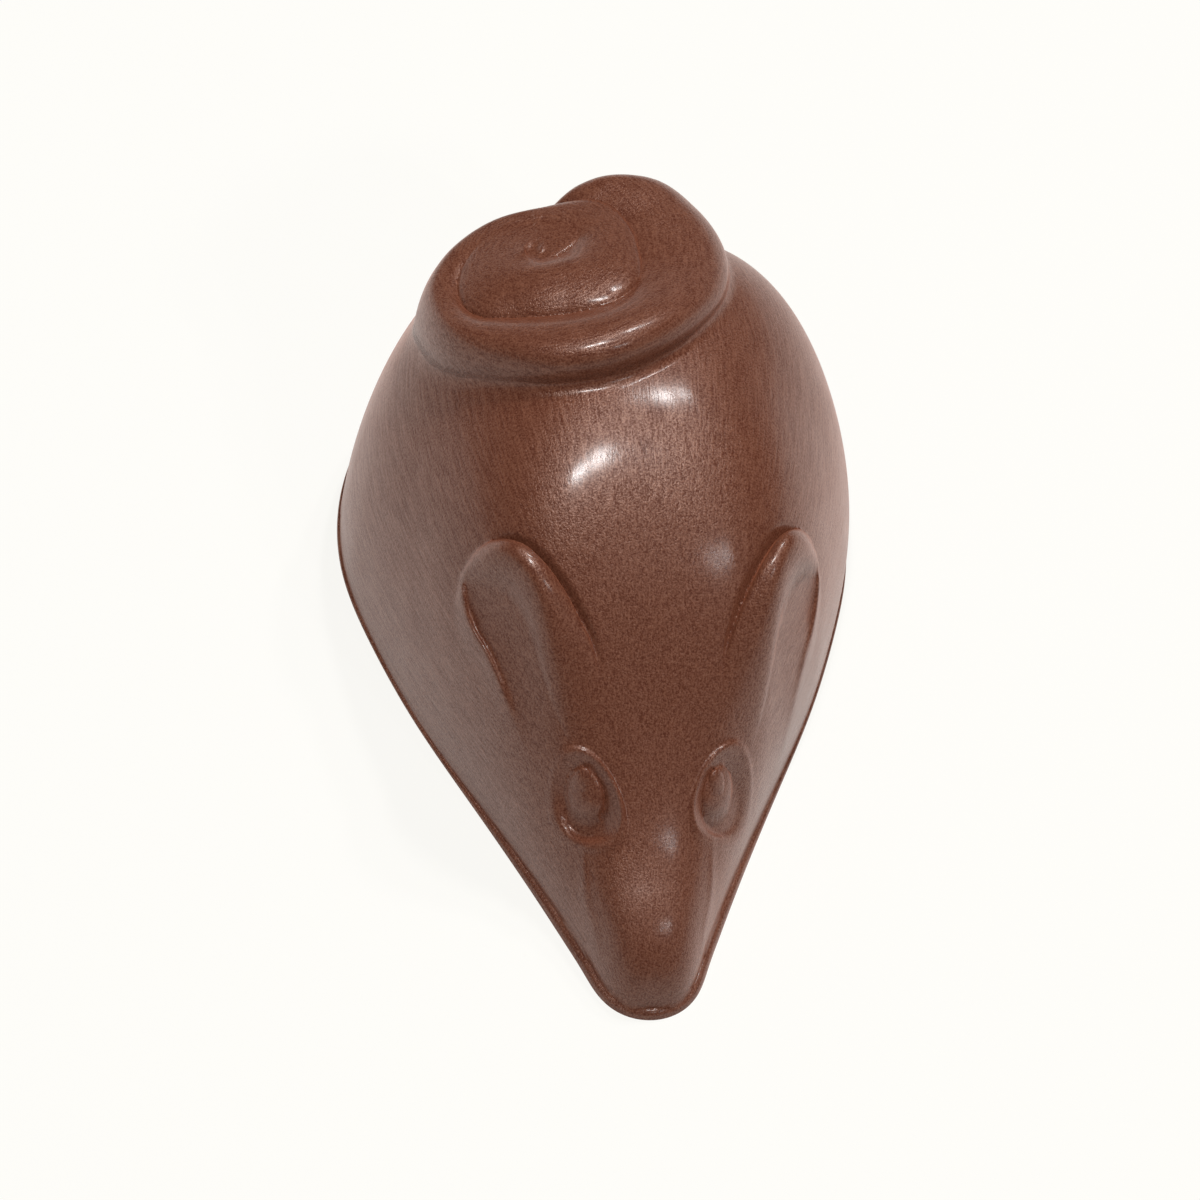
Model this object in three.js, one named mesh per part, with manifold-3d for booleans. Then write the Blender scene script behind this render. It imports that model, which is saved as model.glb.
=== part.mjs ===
// A mouse-shaped chocolate praline, cast in one piece: a drop-shaped body with a flat underside,
// a tapering muzzle, two sunken eyes, two laid-back ears and a tail coiled on the rump.
// Millimetres, +Z up. The underside lies on z = 0, the nose points to -Y and the rump to +Y.
// A cast piece leaves its mould straight upward, so its whole upper side is one height over the plan.

import * as THREE from 'three';
import { ParametricGeometry } from 'three/addons/geometries/ParametricGeometry.js';
import { mergeVertices } from 'three/addons/utils/BufferGeometryUtils.js';
import Module from 'manifold-3d';

// ---- Driving dimensions

// plan of the body, as [distance from the nose, breadth compared with a circle on the same length]
const LENGTH = 44.7;
const BREADTH = [[0, 0.376], [1.5, 0.331], [3, 0.301], [4.7, 0.299], [7, 0.316], [10, 0.351], [14, 0.41],
  [19, 0.494], [24, 0.576], [29, 0.66], [34, 0.72], [39, 0.763], [44.7, 0.797]];

// height of the back above the underside, as [distance from the nose, height]
const BACK = [[0, 4.7], [4, 5.3], [10, 9.2], [17, 15.9], [26, 20.2], [34, 19.9], [44.7, 18.9]];
const NOSE_ROUNDING = 4.5;
const RUMP_ROUNDING = 21.5;
const RUMP_POWER = 4.6;

// cross-section: a rounded arch, with a slight crown and two soft ridges on the muzzle
const ARCH = [[0, 4.0], [4, 4.0], [9, 3.5], [14, 4.25], [28, 2.5], [37, 3.5], [44.7, 4]];
const ARCH_TOP = 1.98;
const MUZZLE_CROWN = 0.2;
const MUZZLE_FADE = [6, 15];
const RIDGE = [[1, 2.35], [2, 2.7], [4.1, 3.05], [5.2, 3.35], [7, 3.5], [8.5, 3.45]];
const RIDGE_HEIGHT = 0.16;

// thin lip round the base, widest at the nose
const LIP_WIDTH = [0.42, 0.14];
const LIP_FADE = [5, 20];
const LIP_HEIGHT = 1.2;

// ears: tip and front end in plan, then across the ear as [distance from the tip, offset to the middle]
const EARS = [
  { tip: [-8.78, -1.65], front: [-3.17, -8.93] },
  { tip: [9.2, -1.2], front: [4.33, -9.26] },
];
const EAR_LENGTH = 9.9;
const EAR_INNER = [[-0.3, -0.2], [0.2, 0.35], [0.9, 0.72], [2.1, 1.12], [3.5, 1.28], [5, 1.32],
  [6.6, 1.25], [8, 1.05], [9, 0.65], [9.8, 0.2]];
const EAR_MIDDLE = [[-0.3, -0.9], [0.2, -0.95], [1, -0.8], [2, -0.6], [3, -0.5], [4.4, -0.62],
  [5.7, -0.95], [7, -1.35], [8.4, -1.7], [9.8, -1.9]];
const EAR_OUTER = [[-0.3, -0.5], [0.13, -1], [0.85, -1.45], [2, -1.88], [3.5, -2.2], [4.7, -2.45],
  [6.5, -2.8], [9, -3.2]];
const EAR_RISE = [[-0.25, 0], [0, 0.4], [0.4, 0.8], [1.2, 1.35], [2, 1.6], [3, 1.65], [4, 1.6], [5, 1.4],
  [6, 1.1], [7, 0.8], [8.5, 0.3], [9.9, 0]];
const EAR_TILT = 0.45;
const EAR_RIM_HEIGHT = 0.7;
const EAR_HOLLOW_DEPTH = 0.7;
const EAR_DITCH_DEPTH = 0.45;

// eyes: an oval socket, and a ball with a small dome that sits toward the socket's rear end
const EYES = [
  { at: [-3.33, -13.11], tilt: 38.5 * Math.PI / 180, ball: [-3.34, -12.57], pupil: [0.5, -0.04] },
  { at: [4.15, -12.8], tilt: 41.5 * Math.PI / 180, ball: [3.75, -12.6], pupil: [0.1, -0.18] },
];
const SOCKET = { length: 2.25, width: 1.22, depth: 0.9, lip: 0.3 };
const BALL = { length: 1.27, width: 0.74, height: 0.95, sunk: 0.8 };
const PUPIL = { size: 0.46, height: 0.3 };

// tail coil: a flat spiral round its own centre, followed by the turn, clockwise from above.
// Turn -1 is the root at the rear of the rump, each whole turn lies at the rear again.
const COIL_X = -4.3;
const COIL_Y = 14.4;
const COIL_LEVEL = 19.74;
const COIL_LEAN = [0.287, -0.33];
const COIL_SAG = 0.021;
const COIL_EDGE = [[-1, 3.65], [-0.94, 4.9], [-0.914, 6.4], [-0.895, 7.4], [-0.878, 8.2],
  [-0.846, 9.6], [-0.8, 10.1], [-0.75, 10.3], [-0.7, 10.3], [-0.65, 10], [-0.6, 9.8], [-0.5, 9.2],
  [-0.44, 8.4], [-0.375, 7.8], [-0.32, 7], [-0.27, 6.4], [-0.22, 5.5], [-0.17, 4.75], [-0.09, 4],
  [0, 3.6], [0.06, 3.95], [0.1, 4.4], [0.143, 4.85], [0.19, 5.1], [0.24, 5.25], [0.28, 5.4],
  [0.31, 5.65], [0.345, 5.9], [0.375, 5.95], [0.405, 5.8], [0.43, 5.5], [0.467, 5.1], [0.515, 4.85],
  [0.577, 4.95], [0.61, 5.25], [0.646, 5.2], [0.68, 4.88], [0.725, 4.3], [0.774, 3.65], [0.85, 2.95],
  [1, 2.5], [1.12, 2.45], [1.21, 2.25], [1.27, 1.65], [1.37, 1.1], [1.57, 0.98], [1.8, 0.7],
  [2.2, 0.4], [3, 0]];
const COIL_LIFT = [[-1, -5], [-0.95, -1.2], [-0.9, 0.15], [-0.85, 0.3], [-0.8, 0], [-0.72, -0.5],
  [-0.6, -0.2], [-0.5, -0.1], [-0.25, 0], [0, 0], [0.25, 0.05], [0.45, 0.25], [0.6, 0.2], [0.8, 0],
  [3, 0.1]];
const COIL_CREASE = [[0, 0.45], [0.08, 0.55], [0.2, 0.5], [0.28, 0.25], [0.34, 0.3], [0.4, 0.6],
  [0.47, 1], [0.56, 1], [0.65, 0.7], [0.75, 0.25], [0.82, 0.05], [0.9, 0], [1.1, 0], [1.22, 0.35],
  [1.35, 0.6], [1.5, 0.5], [1.7, 0], [3, 0]];
const COIL_CREST = [[-1, 0.5], [-0.5, 0.48], [-0.35, 0.58], [-0.2, 0.62], [-0.05, 0.5], [0.2, 0.5],
  [0.4, 0.3], [0.6, 0.3], [0.8, 0.5], [3, 0.5]];
const COIL_ROUND = [[-1, 2.3], [0.2, 2.3], [0.42, 1.6], [0.6, 1.6], [0.8, 2.3], [3, 2.3]];
const COIL_FILLET = 0.6;
const COIL_SUNK = 1.2;

// how finely the faces are cut
const ROWS = 77;
const COLUMNS = 58;
const COLUMN_REACH = 0.9;
const EYE_ROW_GAIN = 1.4;
const COIL_RAYS = 92;
const COIL_RINGS = [3, 4, 6];
const SHELL_FINENESS = 1.8;

// ---- Small helpers

const clamp = (v, low, high) => Math.min(Math.max(v, low), high);
const mix = (a, b, t) => a + (b - a) * t;

function smoothStep(low, high, v) {
  const t = clamp((v - low) / (high - low), 0, 1);
  return t * t * (3 - 2 * t);
}

// greater of two heights, with a rounded valley of the given width where they meet
function smoothMax(a, b, width) {
  const t = clamp(0.5 + 0.5 * (a - b) / width, 0, 1);
  return mix(b, a, t) + width * t * (1 - t);
}

// slope at a station, from its neighbours on both sides
function slopeAt(stations, i) {
  const [x, y] = stations[i];
  const [xa, ya] = stations[Math.max(i - 1, 0)];
  const [xb, yb] = stations[Math.min(i + 1, stations.length - 1)];
  if (i === 0) return (yb - y) / (xb - x);
  if (i === stations.length - 1) return (y - ya) / (x - xa);
  const before = x - xa;
  const after = xb - x;
  return (after * (y - ya) / before + before * (yb - y) / after) / (before + after);
}

// cubic between two stations, from the values and the slopes at both
function cubic(stations, slopes, x) {
  const last = stations.length - 1;
  const v = clamp(x, stations[0][0], stations[last][0]);
  let i = 0;
  while (i < last - 1 && v > stations[i + 1][0]) i += 1;
  const [xa, ya] = stations[i];
  const [xb, yb] = stations[i + 1];
  const span = xb - xa;
  const t = (v - xa) / span;
  const rise = (2 * t ** 3 - 3 * t ** 2 + 1) * ya + (3 * t ** 2 - 2 * t ** 3) * yb;
  const bend = (t ** 3 - 2 * t ** 2 + t) * slopes[i] + (t ** 3 - t ** 2) * slopes[i + 1];
  return rise + span * bend;
}

// smooth curve through stations given as [position, value]
function through(stations) {
  const slopes = stations.map((station, i) => slopeAt(stations, i));
  return (x) => cubic(stations, slopes, x);
}

// curve of a springy batten through the stations: its slopes are solved so that the bending has no jump
function batten(stations) {
  const last = stations.length - 1;
  const gap = (i) => stations[i + 1][0] - stations[i][0];
  const rise = (i) => (stations[i + 1][1] - stations[i][1]) / gap(i);
  const rows = stations.map((station, i) => {
    if (i === 0) return { before: 0, own: 2, after: 1, want: 3 * rise(0) };
    if (i === last) return { before: 1, own: 2, after: 0, want: 3 * rise(last - 1) };
    const before = 1 / gap(i - 1);
    const after = 1 / gap(i);
    return { before, own: 2 * (before + after), after, want: 3 * (rise(i - 1) * before + rise(i) * after) };
  });
  for (let i = 1; i <= last; i += 1) {
    const share = rows[i].before / rows[i - 1].own;
    rows[i].own -= share * rows[i - 1].after;
    rows[i].want -= share * rows[i - 1].want;
  }
  const slopes = rows.map(() => 0);
  for (let i = last; i >= 0; i -= 1) {
    const next = i < last ? rows[i].after * slopes[i + 1] : 0;
    slopes[i] = (rows[i].want - next) / rows[i].own;
  }
  return (x) => cubic(stations, slopes, x);
}

// straight lines between stations
function chain(stations, x) {
  const last = stations.length - 1;
  const v = clamp(x, stations[0][0], stations[last][0]);
  let i = 0;
  while (i < last - 1 && v > stations[i + 1][0]) i += 1;
  const [xa, ya] = stations[i];
  const [xb, yb] = stations[i + 1];
  return mix(ya, yb, (v - xa) / (xb - xa));
}

// ---- Plan of the body

const breadthAt = batten(BREADTH);

// half the body's width squared at distance t from the nose
const widthSquare = (t) => t * (LENGTH - t) * breadthAt(t) ** 2;

const halfWidth = (t) => Math.sqrt(Math.max(widthSquare(t), 0));

// distance inside the outline
function edgeDistance(x, t) {
  const step = 0.02;
  const slope = (widthSquare(t + step) - widthSquare(t - step)) / (2 * step);
  return (widthSquare(t) - x ** 2) / Math.sqrt(slope ** 2 + 4 * x ** 2);
}

// ---- Heights over the plan

const backAt = batten(BACK);
const archAt = batten(ARCH);
const ridgeAt = through(RIDGE);

const lipWidth = (t) => mix(LIP_WIDTH[0], LIP_WIDTH[1], smoothStep(LIP_FADE[0], LIP_FADE[1], t));

function backHeight(t) {
  const nose = clamp(t / NOSE_ROUNDING, 0, 1);
  const rump = clamp((t - LENGTH + RUMP_ROUNDING) / RUMP_ROUNDING, 0, 1);
  const noseCap = Math.sqrt(1 - (1 - nose) ** 2);
  const rumpCap = Math.sqrt(1 - rump ** RUMP_POWER);
  return backAt(t) * noseCap * rumpCap;
}

function bodyHeight(x, y) {
  const t = clamp(y + LENGTH / 2, 0, LENGTH);
  const lip = lipWidth(t);
  const across = clamp(Math.abs(x) / Math.max(halfWidth(t) - lip, 1e-6), 0, 1);
  const crown = 1 - MUZZLE_CROWN * (1 - smoothStep(MUZZLE_FADE[0], MUZZLE_FADE[1], t)) * across ** 2;
  const inner = clamp((t - lip) * LENGTH / (LENGTH - 2 * lip), 0, LENGTH);
  const arch = (1 - across ** archAt(t)) ** (1 / ARCH_TOP);
  const ridge = RIDGE_HEIGHT * Math.exp(-(((Math.abs(x) - ridgeAt(t)) / 0.2) ** 2));
  const ridgeShare = smoothStep(1, 3, t) * (1 - smoothStep(6, 8.5, t));
  const body = backHeight(inner) * crown * arch + ridge * ridgeShare;
  const inward = clamp(edgeDistance(x, t) / lip, 0, 1);
  return smoothMax(body, LIP_HEIGHT * lip * Math.sqrt(1 - (1 - inward) ** 2), 0.4 * lip);
}

const earInner = through(EAR_INNER);
const earMiddle = through(EAR_MIDDLE);
const earOuter = through(EAR_OUTER);
const earRise = through(EAR_RISE);

// one ear: a rolled inner band, a hollow beside it, and a thin outer rim
function earRelief(ear, x, y) {
  const length = Math.hypot(ear.front[0] - ear.tip[0], ear.front[1] - ear.tip[1]);
  const ux = (ear.front[0] - ear.tip[0]) / length;
  const uy = (ear.front[1] - ear.tip[1]) / length;
  const along = (x - ear.tip[0]) * ux + (y - ear.tip[1]) * uy;
  const inward = -Math.sign(ear.tip[0]) * ((y - ear.tip[1]) * ux - (x - ear.tip[0]) * uy);
  if (along < -0.25 || along > EAR_LENGTH) return 0;
  const inner = earInner(along);
  const middle = earMiddle(along);
  const outer = earOuter(along);
  const across = clamp((inward - (inner + middle) / 2) / ((inner - middle) / 2), -1, 1);
  const profile = (1 - EAR_TILT * across) * Math.sqrt(1 - Math.abs(across) ** 2.2);
  const roll = Math.max(earRise(along), 0) * profile;
  const ditchFade = smoothStep(0.4, 1.5, along) * (1 - smoothStep(6.5, 9.5, along));
  const ditch = -EAR_DITCH_DEPTH * Math.exp(-(((inward - inner - 0.08) / 0.17) ** 2)) * ditchFade;
  const rimFade = smoothStep(-0.2, 0.5, along) * (1 - smoothStep(3.6, 7.5, along));
  const rim = EAR_RIM_HEIGHT * Math.exp(-(((inward - outer) / 0.21) ** 2)) * rimFade;
  const span = clamp((inward - outer) / Math.max(middle - outer, 0.2), 0, 1);
  const hollowFade = smoothStep(0.3, 2, along) * (1 - smoothStep(5.5, 9.5, along));
  const hollow = -EAR_HOLLOW_DEPTH * Math.sin(Math.PI * span) * hollowFade;
  return roll + ditch + rim + hollow;
}

// socket depth and ball height of one eye, both measured from the skin
function eyeRelief(eye, x, y) {
  const side = Math.sign(eye.at[0]);
  const turned = ([px, py]) => {
    const dx = side * (x - px);
    const dy = y - py;
    return [
      dy * Math.cos(eye.tilt) + dx * Math.sin(eye.tilt),
      dx * Math.cos(eye.tilt) - dy * Math.sin(eye.tilt),
    ];
  };
  const [along, out] = turned(eye.at);
  const [ballAlong, ballOut] = turned(eye.ball);
  const ring = Math.hypot(along / SOCKET.length, out / SOCKET.width);
  const dish = -SOCKET.depth * (1 - smoothStep(0.5, 1, ring));
  const lipFade = 1 - 0.7 * smoothStep(-0.6, 0.9, out / SOCKET.width);
  const lip = SOCKET.lip * Math.exp(-(((ring - 1.06) / 0.1) ** 2)) * lipFade;
  const onBall = Math.hypot(ballAlong / BALL.length, ballOut / BALL.width);
  if (onBall >= 1) return { dish: dish + lip, ball: -9 };
  const dome = Math.hypot(ballAlong - eye.pupil[0], ballOut - eye.pupil[1]) / PUPIL.size;
  const pupil = PUPIL.height * Math.sqrt(Math.max(1 - dome ** 2, 0));
  return { dish: dish + lip, ball: BALL.height * Math.sqrt(1 - onBall ** 4) - BALL.sunk + pupil };
}

// body with its ears and eyes, without the coil
function skinHeight(x, y) {
  const plain = bodyHeight(x, y);
  const ears = EARS.reduce((sum, ear) => sum + earRelief(ear, x, y), 0);
  const [left, right] = EYES.map((eye) => eyeRelief(eye, x, y));
  const dish = left.dish + right.dish;
  const carved = plain + ears * clamp(plain / 4, 0, 1) + dish * clamp(plain / 3, 0, 1);
  return smoothMax(carved, plain + Math.max(left.ball, right.ball), 0.06);
}

// ---- Tail coil

const coilEdge = through(COIL_EDGE);
const coilLift = through(COIL_LIFT);

// height of the sloping, slightly sagging face that the coil is laid on
function coilBed(x, y) {
  const dx = x - COIL_X;
  const dy = y - COIL_Y;
  return COIL_LEVEL + COIL_LEAN[0] * dx + COIL_LEAN[1] * dy - COIL_SAG * dx ** 2;
}

// height of the coil at radius r on the ray that lies at psi of a turn, over the skin's height there
function coilHeight(r, psi, skin) {
  const foot = coilEdge(psi - 1);
  if (r >= foot) {
    const out = clamp(r - foot, 0, COIL_FILLET);
    return skin + COIL_FILLET - Math.sqrt(COIL_FILLET ** 2 - (COIL_FILLET - out) ** 2);
  }
  let turn = psi - 1;
  while (turn < 2 && r < coilEdge(turn + 1)) turn += 1;
  const bed = coilBed(COIL_X + r * Math.sin(2 * Math.PI * psi), COIL_Y + r * Math.cos(2 * Math.PI * psi));
  const low = skin + COIL_FILLET;
  const top = Math.max(bed + coilLift(turn), low);
  const outer = coilEdge(turn);
  const inner = coilEdge(turn + 1);
  const crest = mix(inner, outer, chain(COIL_CREST, turn));
  if (r < crest) {
    const near = Math.max(top - chain(COIL_CREASE, turn + 1), low);
    const inside = clamp((crest - r) / Math.max(crest - inner, 0.2), 0, 1);
    return Math.max(mix(top, near, inside ** 2), skin);
  }
  const seam = Math.max(bed + coilLift(turn - 1) - chain(COIL_CREASE, turn), low);
  const far = turn < 0 ? low : seam;
  const outside = clamp((r - crest) / Math.max(outer - crest, 0.2), 0, 1);
  const power = chain(COIL_ROUND, turn);
  return Math.max(mix(far, top, (1 - outside ** power) ** (1.15 / power)), skin);
}

// ---- Solids

// places n + 1 lines from 0 to 1 so that each gap holds the same share of the density
function spreadLines(density, n) {
  const steps = 400;
  const sums = [0];
  for (let i = 0; i < steps; i += 1) sums.push(sums[i] + density((i + 0.5) / steps));
  const lines = [];
  let i = 0;
  for (let k = 0; k <= n; k += 1) {
    const want = sums[steps] * k / n;
    while (i < steps - 1 && sums[i + 1] < want) i += 1;
    lines.push(clamp((i + (want - sums[i]) / (sums[i + 1] - sums[i])) / steps, 0, 1));
  }
  return lines;
}

// skin point at share a of the length and share b across, both from 0 to 1
function skinPoint(a, b) {
  const t = LENGTH * a;
  const x = halfWidth(t) * (2 * b - 1);
  const y = t - LENGTH / 2;
  return new THREE.Vector3(x, y, b <= 0 || b >= 1 ? 0 : skinHeight(x, y));
}

// how much surface, and how much turning of it, lies between two nearby skin points
function skinChange(a0, b0, a1, b1, ahead) {
  const p = skinPoint(a0, b0);
  const q = skinPoint(a1, b1);
  const r = skinPoint(clamp(2 * a1 - a0, 0, 1), clamp(2 * b1 - b0, 0, 1));
  const first = q.clone().sub(p);
  const second = r.sub(q);
  const turn = first.length() > 1e-6 && second.length() > 1e-6 ? first.angleTo(second) : 0;
  return first.length() + ahead * turn;
}

// rows crowd where the surface turns, and most of all over the eyes
function rowDensity(a) {
  const step = 1 / 400;
  const fromEyes = Math.abs(LENGTH * (a - 0.5) - EYES[0].at[1]);
  const gain = mix(EYE_ROW_GAIN, 1, smoothStep(1.6, 3, fromEyes));
  let sum = 0;
  for (let b = 0.06; b < 0.97; b += 0.04) {
    sum += skinChange(clamp(a - step / 2, 0, 1), b, clamp(a + step / 2, 0, 1), b, SHELL_FINENESS);
  }
  return gain * sum;
}

// columns of one row: they crowd where that row and its near neighbours turn, such as along the ears
function columnsAt(a) {
  const step = 1 / 400;
  const density = (b) => {
    let sum = 0;
    for (let k = -2; k <= 2; k += 1) {
      const near = clamp(a + k * COLUMN_REACH / LENGTH / 2, 0.01, 0.99);
      sum += skinChange(near, clamp(b - step / 2, 0, 1), near, clamp(b + step / 2, 0, 1), SHELL_FINENESS);
    }
    return sum + 0.004;
  };
  return spreadLines(density, COLUMNS);
}

// closed solid from a sheet whose edges meet: equal points are merged and empty faces dropped
function closedSolid(wasm, sheet) {
  sheet.deleteAttribute('normal');
  sheet.deleteAttribute('uv');
  const merged = mergeVertices(sheet, 1e-4);
  const index = merged.getIndex().array;
  const faces = [];
  for (let i = 0; i < index.length; i += 3) {
    const [a, b, c] = [index[i], index[i + 1], index[i + 2]];
    if (a !== b && b !== c && c !== a) faces.push(a, b, c);
  }
  return new wasm.Manifold(new wasm.Mesh({
    numProp: 3,
    vertProperties: Float32Array.from(merged.getAttribute('position').array),
    triVerts: Uint32Array.from(faces),
  }));
}

// the sheet runs over the skin from the left base edge to the right one, and back underneath
function bodySheet() {
  const rows = spreadLines(rowDensity, ROWS);
  const columns = rows.map(columnsAt);
  const place = (u, v, target) => {
    const row = Math.round(v * ROWS);
    const column = Math.round(u * (COLUMNS + 1)) % (COLUMNS + 1);
    target.copy(skinPoint(rows[row], columns[row][column]));
  };
  return new ParametricGeometry(place, COLUMNS + 1, ROWS);
}

// radii of the coil's rings on one ray: tip, inner seam, outer seam and foot, with rings between
function coilRadii(psi) {
  const foot = coilEdge(psi - 1);
  const seamEnd = smoothStep(0.72, 0.95, psi);
  const seam = Math.min(mix(coilEdge(psi), foot - 0.25, seamEnd), foot - 0.25);
  const tipTurn = psi < 0.08 ? psi + 1 : psi;
  const tipEnd = clamp((tipTurn - 0.68) / 0.4, 0, 1);
  const tip = mix(coilEdge(Math.min(tipTurn, 0.68) + 1), coilEdge(1.08), tipEnd);
  const radii = [];
  for (let i = 0; i < COIL_RINGS[0]; i += 1) radii.push(tip * i / COIL_RINGS[0]);
  for (let i = 0; i < COIL_RINGS[1]; i += 1) {
    const share = i / COIL_RINGS[1];
    radii.push(mix(tip, seam, share * (1.6 - 0.6 * share)));
  }
  for (let i = 0; i <= COIL_RINGS[2]; i += 1) {
    const share = i / COIL_RINGS[2];
    radii.push(mix(seam, foot - 0.002, 1 - (1 - share) ** 1.8));
  }
  radii.push(foot + 0.12 * COIL_FILLET);
  radii.push(foot + 0.4 * COIL_FILLET);
  return radii;
}

// the sheet runs from the coil's middle over its top to the foot, down, and back inside the body
function coilSheet() {
  const rings = COIL_RINGS[0] + COIL_RINGS[1] + COIL_RINGS[2] + 4;
  const place = (u, v, target) => {
    const psi = (Math.round(u * COIL_RAYS) % COIL_RAYS) / COIL_RAYS;
    const radii = coilRadii(psi);
    const ring = Math.round(v * rings);
    const r = ring === rings ? 0 : radii[Math.min(ring, radii.length - 1)];
    const x = COIL_X + r * Math.sin(2 * Math.PI * psi);
    const y = COIL_Y + r * Math.cos(2 * Math.PI * psi);
    const skin = bodyHeight(x, y);
    const ray = r > 0 ? psi : 0;
    target.set(x, y, ring < radii.length ? coilHeight(r, ray, skin) : skin - COIL_SUNK);
  };
  return new ParametricGeometry(place, COIL_RAYS, rings);
}

// three.js geometry of a joined solid
function solidGeometry(solid) {
  const mesh = solid.getMesh();
  const geometry = new THREE.BufferGeometry();
  geometry.setAttribute('position', new THREE.BufferAttribute(Float32Array.from(mesh.vertProperties), 3));
  geometry.setIndex(new THREE.BufferAttribute(Uint32Array.from(mesh.triVerts), 1));
  geometry.computeVertexNormals();
  return geometry;
}

async function makePraline() {
  const wasm = await Module();
  wasm.setup();
  const body = closedSolid(wasm, bodySheet());
  const coil = closedSolid(wasm, coilSheet());
  const chocolate = new THREE.MeshStandardMaterial({ color: '#6f4334', roughness: 0.38, metalness: 0 });
  const praline = new THREE.Mesh(solidGeometry(body.add(coil)), chocolate);
  praline.name = 'praline';
  return praline;
}

const model = new THREE.Group();
model.add(await makePraline());

export default model;
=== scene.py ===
# %% [markdown]
# # A mouse-shaped chocolate praline
# This notebook dresses one moulded praline: a drop-shaped body with a flat underside, two laid-back
# ears, two sunken eyes and a tail coiled on the rump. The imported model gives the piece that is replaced.
# Everything that shows is made here again, from the same sizes, as one fine skin, then given a chocolate
# finish and a soft studio light.

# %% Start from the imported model
import bpy
import numpy as np
from mathutils import Matrix, Vector


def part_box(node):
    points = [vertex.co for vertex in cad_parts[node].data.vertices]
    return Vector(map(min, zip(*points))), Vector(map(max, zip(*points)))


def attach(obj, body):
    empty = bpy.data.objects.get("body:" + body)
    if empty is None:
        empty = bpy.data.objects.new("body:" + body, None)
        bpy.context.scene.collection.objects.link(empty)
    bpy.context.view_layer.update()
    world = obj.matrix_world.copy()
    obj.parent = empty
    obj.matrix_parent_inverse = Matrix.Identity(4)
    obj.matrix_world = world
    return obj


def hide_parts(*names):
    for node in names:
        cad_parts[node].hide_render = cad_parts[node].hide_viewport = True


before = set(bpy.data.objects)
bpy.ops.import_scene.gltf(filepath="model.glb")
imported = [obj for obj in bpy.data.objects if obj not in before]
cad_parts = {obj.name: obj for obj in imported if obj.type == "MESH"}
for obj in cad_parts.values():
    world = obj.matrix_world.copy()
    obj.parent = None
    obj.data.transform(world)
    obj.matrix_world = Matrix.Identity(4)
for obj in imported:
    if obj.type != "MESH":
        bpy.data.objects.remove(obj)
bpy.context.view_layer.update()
low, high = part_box("praline")
print("packed praline, mm:", [round(1000 * (b - a), 2) for a, b in zip(low, high)])

# %% [markdown]
# ## Sizes
# A moulded praline of this kind is a little longer than a thumb joint. All sizes below are millimetres
# and are turned to metres once, when the mesh is made. The plan is the width of a circle on the body's
# own length, times a breadth that varies along it. The tables give a breadth, a height or a shape number
# at a few stations counted from the nose, and one smooth curve runs through each. They began as a
# program's fit to the outline in the photograph, and were rounded and partly changed.

# %% Sizes of the body
MM = 0.001
LENGTH = 44.7
BREADTH = [(0, 0.376), (1.5, 0.331), (3, 0.301), (4.7, 0.299), (7, 0.316), (10, 0.351), (14, 0.41),
           (19, 0.494), (24, 0.576), (29, 0.66), (34, 0.72), (39, 0.763), (44.7, 0.797)]
BACK = [(0, 4.7), (4, 5.3), (10, 9.2), (17, 15.9), (26, 20.2), (34, 19.9), (44.7, 18.9)]
NOSE_ROUNDING = 4.5
RUMP_ROUNDING = 21.5
RUMP_POWER = 4.6
ARCH = [(0, 4.0), (4, 4.0), (9, 3.5), (14, 4.25), (28, 2.5), (37, 3.5), (44.7, 4)]
ARCH_TOP = 1.98
MUZZLE_CROWN = 0.2
MUZZLE_FADE = (6, 15)
RIDGE = [(1, 2.35), (2, 2.7), (4.1, 3.05), (5.2, 3.35), (7, 3.5), (8.5, 3.45)]
RIDGE_HEIGHT = 0.16
RIDGE_BREADTH = 0.2
RIDGE_START = (1, 3)
RIDGE_END = (6, 8.5)
LIP_WIDTH = (0.42, 0.14)
LIP_FADE = (5, 20)
LIP_HEIGHT = 1.2
LIP_VALLEY = 0.4

print("length, mm:", LENGTH)

# %% [markdown]
# The ears have their own tables, in millimetres along the ear from its tip: where the roll's inner edge,
# its outer edge and the ear's outer rim lie across the ear, and how high the roll stands. In the
# photograph the two ears and the two eyes aren't mirror images, as if the mould's model was cut by hand.

# %% Sizes of the ears and the eyes
EARS = [dict(tip=(-8.78, -1.65), front=(-3.17, -8.93)), dict(tip=(9.2, -1.2), front=(4.33, -9.26))]
EAR_LENGTH = 9.9
EAR_INNER = [(-0.3, -0.2), (0.2, 0.35), (0.9, 0.72), (2.1, 1.12), (3.5, 1.28), (5, 1.32),
             (6.6, 1.25), (8, 1.05), (9, 0.65), (9.8, 0.2)]
EAR_MIDDLE = [(-0.3, -0.9), (0.2, -0.95), (1, -0.8), (2, -0.6), (3, -0.5), (4.4, -0.62),
              (5.7, -0.95), (7, -1.35), (8.4, -1.7), (9.8, -1.9)]
EAR_OUTER = [(-0.3, -0.5), (0.13, -1), (0.85, -1.45), (2, -1.88), (3.5, -2.2), (4.7, -2.45),
             (6.5, -2.8), (9, -3.2)]
EAR_RISE = [(-0.25, 0), (0, 0.4), (0.4, 0.8), (1.2, 1.35), (2, 1.6), (3, 1.65), (4, 1.6), (5, 1.4),
            (6, 1.1), (7, 0.8), (8.5, 0.3), (9.9, 0)]
EAR_START = -0.25
EAR_TILT = 0.45
EAR_ROUND = 2.2
EAR_RIM = dict(height=0.7, breadth=0.21, start=(-0.2, 0.5), end=(3.6, 7.5))
EAR_HOLLOW = dict(depth=0.7, start=(0.3, 2), end=(5.5, 9.5))
EAR_DITCH = dict(depth=0.45, off=0.08, breadth=0.17, start=(0.4, 1.5), end=(6.5, 9.5))
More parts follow.
